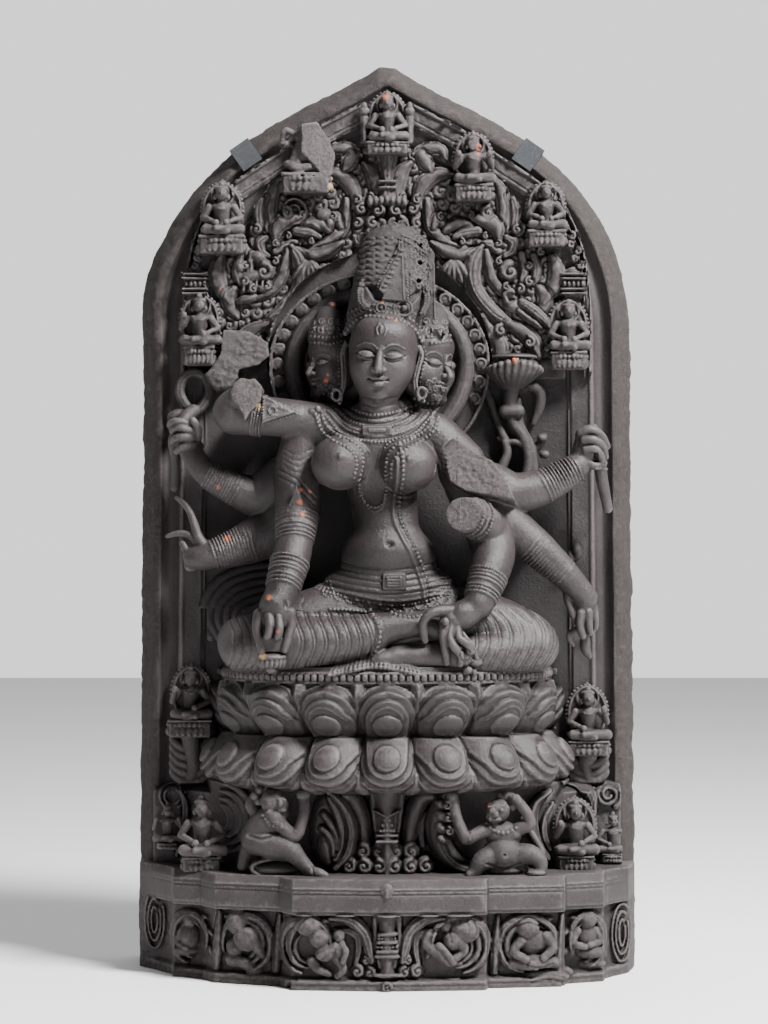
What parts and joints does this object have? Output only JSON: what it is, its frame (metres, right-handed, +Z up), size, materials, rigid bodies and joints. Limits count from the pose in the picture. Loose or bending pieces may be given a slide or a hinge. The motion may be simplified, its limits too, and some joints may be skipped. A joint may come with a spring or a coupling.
{
  "type": "carved stone stele of a seated goddess",
  "caption": "Pointed dark stone stele of a many-armed goddess seated on a double lotus, with scrollwork, small shrines and a stepped pedestal.",
  "frame": {"origin": "middle of the bounding box at its lowest point, on the surface that the stele stands on", "axes": "+Z up, the carved front faces -Y, +X to the right of someone who faces the carving"},
  "size_m": [0.6618, 0.32, 1.2],
  "materials": {
    "stone": "fine-grained dark grey stone, polished with a satin sheen on limbs, rough at the edge, matte lighter grey on breaks",
    "clip_metal": "bent metal strap, painted flat dark grey"
  },
  "bodies": {
    "root": {"stele": "stone", "clip_left": "clip_metal", "clip_right": "clip_metal"}
  },
  "joints": []
}
